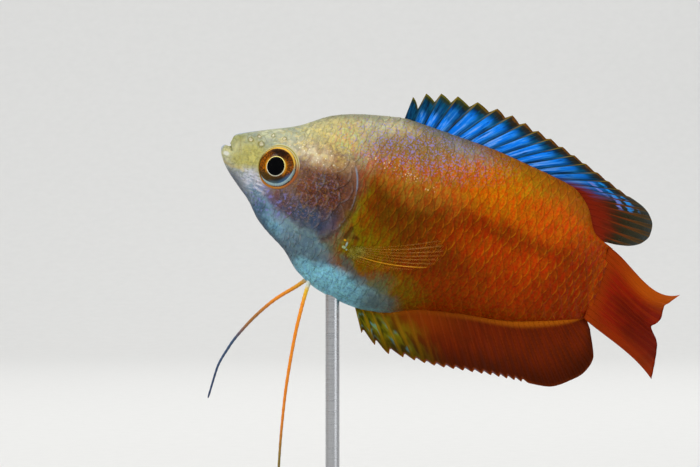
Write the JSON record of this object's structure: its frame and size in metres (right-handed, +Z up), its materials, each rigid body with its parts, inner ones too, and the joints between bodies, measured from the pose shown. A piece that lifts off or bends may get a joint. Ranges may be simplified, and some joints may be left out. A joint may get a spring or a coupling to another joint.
{
  "type": "dwarf gourami",
  "caption": "Life-size still model of an adult male red dwarf gourami, swimming nose up with its tail swept aside, on an oval wooden base with a steel rod.",
  "frame": {"origin": "centre of the stand base's flat underside", "axes": "+Z up; the fish faces -X with its nose raised 19.7 degrees, its left side faces -Y"},
  "size_m": [0.0827, 0.0492, 0.0733],
  "materials": {
    "head_skin": "satin, fine scales, wet gloss",
    "upper_lip_skin": "satin, smooth",
    "lower_lip_skin": "satin, smooth",
    "gill_left_skin": "satin, fine scales, wet gloss",
    "gill_right_skin": "satin, fine scales, wet gloss",
    "trunk_skin": "scaled, wet gloss",
    "tail_stem_skin": "scaled, wet gloss",
    "dorsal_web": "thin fin web, satin",
    "anal_web": "thin fin web, satin",
    "tail_web": "thin fin web, satin",
    "pectoral_left_web": "clear thin fin web",
    "pectoral_right_web": "clear thin fin web",
    "feeler_left_look": "satin",
    "feeler_right_look": "satin",
    "eye_left_look": "high gloss, clear cornea",
    "eye_right_look": "high gloss, clear cornea",
    "stand_wood": "dark, oiled",
    "stand_steel": "brushed"
  },
  "bodies": {
    "root": {"head": "head_skin", "upper_jaw": "upper_lip_skin", "lower_jaw": "lower_lip_skin", "gill_cover_left": "gill_left_skin", "gill_cover_right": "gill_right_skin", "trunk": "trunk_skin", "tail_stem": "tail_stem_skin", "eye_left": "eye_left_look", "eye_right": "eye_right_look", "dorsal_fin": "dorsal_web", "anal_fin": "anal_web", "tail_fin": "tail_web", "pectoral_fin_left": "pectoral_left_web", "pectoral_fin_right": "pectoral_right_web", "pelvic_feeler_left": "feeler_left_look", "pelvic_feeler_right": "feeler_right_look", "stand_base": "stand_wood", "stand_rod": "stand_steel", "stand_collar": "stand_steel"}
  },
  "joints": []
}
